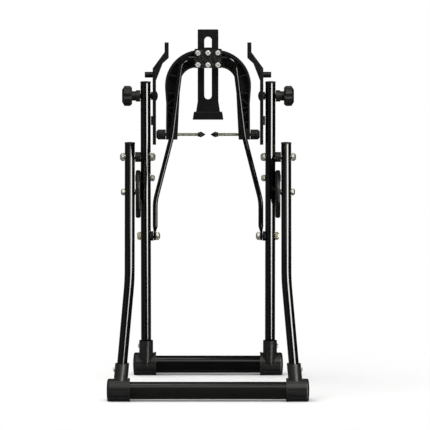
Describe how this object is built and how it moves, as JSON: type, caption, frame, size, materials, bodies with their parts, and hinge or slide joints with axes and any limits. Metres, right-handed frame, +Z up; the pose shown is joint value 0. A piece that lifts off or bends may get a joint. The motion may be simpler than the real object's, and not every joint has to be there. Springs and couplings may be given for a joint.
{
  "type": "bicycle wheel truing stand",
  "caption": "Folding wheel truing stand: two crossed tube frames, stepped dropout plates and a hinged arm with screw feelers and a slotted radial indicator.",
  "frame": {"origin": "on the floor, midway between the two bars and between left and right", "axes": "+Z up, +Y from the user's side towards the rear bar, +X to the user's right"},
  "size_m": [0.2544, 0.304, 0.4468],
  "materials": {
    "black_bolt": "black oxide steel",
    "black_plate": "satin black coated steel",
    "black_rubber": "black rubber",
    "bright_plated": "bright zinc and chrome plate",
    "moulded_black": "black moulded nylon, fine texture",
    "painted_tube": "gloss black powder coat on steel",
    "threaded_steel": "plain steel thread",
    "yellow_plated": "yellow zinc plated steel"
  },
  "bodies": {
    "rear_frame": {"rear_bar": "painted_tube", "left_rear_connector": "moulded_black", "right_rear_connector": "moulded_black", "left_upright": "painted_tube", "right_upright": "painted_tube", "upright_caps": "moulded_black", "left_pivot_bolt": "bright_plated", "right_pivot_bolt": "bright_plated", "pivot_nuts": "bright_plated", "pivot_spacers": "moulded_black", "left_fold_disc": "moulded_black", "right_fold_disc": "moulded_black", "disc_bolts": "bright_plated", "disc_nuts": "bright_plated", "arm_bolts": "bright_plated", "arm_washers": "black_plate", "arm_locknuts": "yellow_plated", "rear_set_screws": "bright_plated"},
    "front_frame": {"front_bar": "painted_tube", "left_front_connector": "moulded_black", "right_front_connector": "moulded_black", "left_leg": "painted_tube", "right_leg": "painted_tube", "leg_caps": "moulded_black", "guide_bolts": "bright_plated", "guide_washers": "black_plate", "front_set_screws": "bright_plated"},
    "caliper_arm": {"arm_rod": "painted_tube", "caliper_arch": "moulded_black", "clamp_plate": "black_plate", "short_clamp_screws": "bright_plated", "long_clamp_screws": "bright_plated", "rear_strip": "black_plate", "strip_nuts": "bright_plated"},
    "indicator": {"indicator_plate": "black_plate"},
    "left_dropout": {"left_dropout_plate": "black_plate", "left_stop_pin": "black_plate", "left_dropout_pad": "black_rubber", "left_clamp_bolt": "black_bolt", "left_clamp_washer": "black_plate"},
    "right_dropout": {"right_dropout_plate": "black_plate", "right_stop_pin": "black_plate", "right_dropout_pad": "black_rubber", "right_clamp_bolt": "black_bolt", "right_clamp_washer": "black_plate"},
    "left_knob": {"left_clamp_knob": "moulded_black"},
    "right_knob": {"right_clamp_knob": "moulded_black"},
    "left_tip": {"left_feeler_tip": "black_rubber"},
    "left_screw": {"left_feeler_rod": "threaded_steel", "left_feeler_knob": "moulded_black"},
    "right_tip": {"right_feeler_tip": "black_rubber"},
    "right_screw": {"right_feeler_rod": "threaded_steel", "right_feeler_knob": "moulded_black"}
  },
  "joints": [
    {"name": "fold", "type": "hinge", "parent": "rear_frame", "child": "front_frame", "pos_m": [0, 0, 0.29252], "axis": [1, 0, 0], "range_deg": [0, 46]},
    {"name": "arm_swing", "type": "hinge", "parent": "rear_frame", "child": "caliper_arm", "pos_m": [0, 0.05173, 0.18647], "axis": [-1, 0, 0], "range_deg": [-30, 100]},
    {"name": "indicator_slide", "type": "slide", "parent": "caliper_arm", "child": "indicator", "axis": [0, 0, 1], "range_m": [-0.014, 0.038]},
    {"name": "left_dropout_tilt", "type": "hinge", "parent": "rear_frame", "child": "left_dropout", "pos_m": [0, -0.03985, 0.37423], "axis": [1, 0, 0], "range_deg": [-15, 15]},
    {"name": "right_dropout_tilt", "type": "hinge", "parent": "rear_frame", "child": "right_dropout", "pos_m": [0, -0.03985, 0.37423], "axis": [1, 0, 0], "range_deg": [-15, 15]},
    {"name": "left_knob_turn", "type": "hinge", "parent": "rear_frame", "child": "left_knob", "pos_m": [0, -0.03985, 0.37423], "axis": [1, 0, 0], "continuous": true},
    {"name": "right_knob_turn", "type": "hinge", "parent": "rear_frame", "child": "right_knob", "pos_m": [0, -0.03985, 0.37423], "axis": [1, 0, 0], "continuous": true},
    {"name": "left_feeler_slide", "type": "slide", "parent": "caliper_arm", "child": "left_tip", "axis": [-1, 0, 0], "range_m": [0, 0.024]},
    {"name": "left_feeler_turn", "type": "hinge", "parent": "left_tip", "child": "left_screw", "pos_m": [0, 0.06188, 0.31427], "axis": [-1, 0, 0], "range_deg": [0, 4320]},
    {"name": "right_feeler_slide", "type": "slide", "parent": "caliper_arm", "child": "right_tip", "axis": [1, 0, 0], "range_m": [0, 0.024]},
    {"name": "right_feeler_turn", "type": "hinge", "parent": "right_tip", "child": "right_screw", "pos_m": [0, 0.06188, 0.31427], "axis": [1, 0, 0], "range_deg": [0, 4320]}
  ],
  "couplings": [
    {"joint": "left_feeler_turn", "follows": "left_feeler_slide", "rad_per_m": 3141.6},
    {"joint": "right_feeler_turn", "follows": "right_feeler_slide", "rad_per_m": 3141.6}
  ]
}
